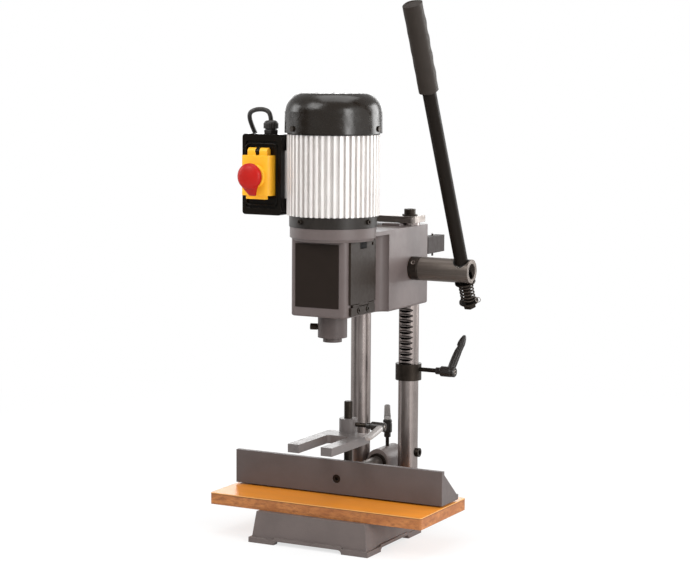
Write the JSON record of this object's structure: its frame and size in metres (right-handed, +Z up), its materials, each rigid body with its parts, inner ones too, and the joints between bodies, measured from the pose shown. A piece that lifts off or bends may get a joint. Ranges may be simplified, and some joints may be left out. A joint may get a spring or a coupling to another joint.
{
  "type": "benchtop mortiser",
  "caption": "Benchtop hollow chisel mortiser: motor head on twin columns with rack and pinion lever, depth stop, sliding fence, hold-down fork and hinged switch guard.",
  "frame": {"origin": "Centre of the four bench bolt holes, on the underside of the base.", "axes": "+Z up and along the longest extent, +X to the operator's right, +Y from the front to the back."},
  "size_m": [0.36, 0.4182, 0.8147],
  "materials": {
    "grey_paint": "satin hammered grey paint",
    "fence_grey": "smooth grey paint on a machined face",
    "steel": "ground steel",
    "black_steel": "blackened steel",
    "zinc": "zinc plated",
    "cast_zinc": "bead blasted die casting",
    "board": "laminated board, orange brown",
    "bare_aluminium": "natural aluminium fins",
    "black_gloss": "glossy black",
    "black_plastic": "fine textured black",
    "plate_black": "satin black plate",
    "yellow_plastic": "moulded yellow",
    "red_plastic": "moulded red",
    "green_plastic": "moulded green",
    "grip_rubber": "soft black grip",
    "copper_iron": "laminations and windings",
    "cord_rubber": "black flexible lead"
  },
  "bodies": {
    "base": {"base_casting": "grey_paint", "table_board": "board", "base_screws": "zinc", "left_column": "steel", "right_column": "steel", "tie_plate": "steel", "tie_bolts": "black_steel", "bar_bush": "black_steel", "power_cord": "cord_rubber", "cord_coil": "cord_rubber", "power_plug": "black_plastic"},
    "fence": {"fence_casting": "fence_grey", "fence_bar": "steel", "fence_screw": "black_steel", "holddown_post": "black_steel"},
    "holddown": {"holddown_fork": "cast_zinc"},
    "bar_lock": {"bar_lock_stud": "black_steel", "bar_lock_handle": "cast_zinc"},
    "fork_lock": {"fork_lock_stud": "black_steel", "fork_lock_handle": "cast_zinc"},
    "depth_stop": {"depth_collar": "black_steel"},
    "depth_lock": {"depth_lock_stud": "black_steel", "depth_lock_handle": "black_steel"},
    "head": {"head_casting": "grey_paint", "pinion_bush": "copper_iron", "spring_case": "black_steel", "return_spring": "steel", "chisel_collar": "grey_paint", "chisel_bush": "steel", "tool_rack": "grey_paint", "hex_key": "black_steel", "hinge_block": "black_plastic", "hinge_hardware": "black_steel", "name_plate": "plate_black", "motor_base": "black_gloss", "motor_housing": "bare_aluminium", "stator": "copper_iron", "end_shield": "bare_aluminium", "fan_cover": "black_gloss", "cover_screws": "black_steel", "motor_bearings": "steel", "switch_box": "black_plastic", "flap_pin": "steel", "cable_gland": "black_plastic"},
    "lock_screw": {"chisel_lock_screw": "black_steel"},
    "door": {"chamber_door": "plate_black"},
    "spindle": {"rotor_shaft": "steel", "motor_fan": "black_plastic", "chuck": "steel"},
    "flap": {"flap_cover": "yellow_plastic"},
    "mushroom": {"stop_mushroom": "red_plastic"},
    "stop_key": {"stop_button": "red_plastic"},
    "start_key": {"start_button": "green_plastic"},
    "pinion": {"pinion_shaft": "steel", "hub_ring": "black_steel"},
    "lever": {"lever_hub": "black_steel", "lever_spring": "black_steel"},
    "lever_slider": {"lever_rod": "black_steel", "lever_grip": "grip_rubber", "lever_nut": "black_steel"}
  },
  "joints": [
    {"name": "head_slide", "type": "slide", "parent": "base", "child": "head", "axis": [0, 0, 1], "range_m": [-0.093, 0], "stiffness_N_per_m": 700, "springref_m": 0.55},
    {"name": "pinion_spin", "type": "hinge", "parent": "head", "child": "pinion", "pos_m": [0, 0.13367, 0.4068], "axis": [1, 0, 0], "range_deg": [0, 352.5]},
    {"name": "lever_swing", "type": "hinge", "parent": "head", "child": "lever", "pos_m": [0, 0.13367, 0.4068], "axis": [1, 0, 0], "range_deg": [-10, 75]},
    {"name": "lever_pull", "type": "slide", "parent": "lever", "child": "lever_slider", "axis": [0, -0.421, 0.907], "range_m": [0, 0.008], "stiffness_N_per_m": 2500, "springref_m": -0.006, "deforming": ["lever_spring"]},
    {"name": "depth_stop_slide", "type": "slide", "parent": "base", "child": "depth_stop", "axis": [0, 0, 1], "range_m": [-0.08, 0]},
    {"name": "depth_lock_turn", "type": "hinge", "parent": "depth_stop", "child": "depth_lock", "pos_m": [0.09, 0.162, 0.2435], "axis": [1, 0, 0], "range_deg": [-34, 20]},
    {"name": "fence_slide", "type": "slide", "parent": "base", "child": "fence", "axis": [0, 1, 0], "range_m": [-0.025, 0.06]},
    {"name": "bar_lock_turn", "type": "hinge", "parent": "base", "child": "bar_lock", "pos_m": [0, 0.1743, 0.12], "axis": [0, 0, 1], "range_deg": [-50, 50]},
    {"name": "holddown_slide", "type": "slide", "parent": "fence", "child": "holddown", "axis": [0, 0, 1], "range_m": [-0.022, 0.025]},
    {"name": "fork_lock_turn", "type": "hinge", "parent": "holddown", "child": "fork_lock", "pos_m": [0.03, 0.0393, 0.1705], "axis": [1, 0, 0], "range_deg": [-70, 5]},
    {"name": "door_hinge", "type": "hinge", "parent": "head", "child": "door", "pos_m": [0.0482, -0.008, 0.3644], "axis": [0, 1, 0], "range_deg": [0, 100]},
    {"name": "flap_hinge", "type": "hinge", "parent": "head", "child": "flap", "pos_m": [-0.1103, -0.0475, 0.5905], "axis": [-1, 0, 0], "range_deg": [0, 110]},
    {"name": "mushroom_push", "type": "slide", "parent": "flap", "child": "mushroom", "axis": [0, 1, 0], "range_m": [0, 0.004], "stiffness_N_per_m": 600, "springref_m": -0.002},
    {"name": "stop_button_push", "type": "slide", "parent": "head", "child": "stop_key", "axis": [0, 1, 0], "range_m": [0, 0.004], "stiffness_N_per_m": 500, "springref_m": -0.001},
    {"name": "start_button_push", "type": "slide", "parent": "head", "child": "start_key", "axis": [0, 1, 0], "range_m": [0, 0.004], "stiffness_N_per_m": 500, "springref_m": -0.001},
    {"name": "spindle_spin", "type": "hinge", "parent": "head", "child": "spindle", "pos_m": [0, -0.0137, 0.5], "axis": [0, 0, 1], "continuous": true},
    {"name": "lock_screw_turn", "type": "hinge", "parent": "head", "child": "lock_screw", "pos_m": [0, -0.0137, 0.327], "axis": [-0.9632, -0.2689, 0], "range_deg": [-360, 0]}
  ],
  "couplings": [
    {"joint": "pinion_spin", "follows": "head_slide", "rad_per_m": -66.116}
  ]
}
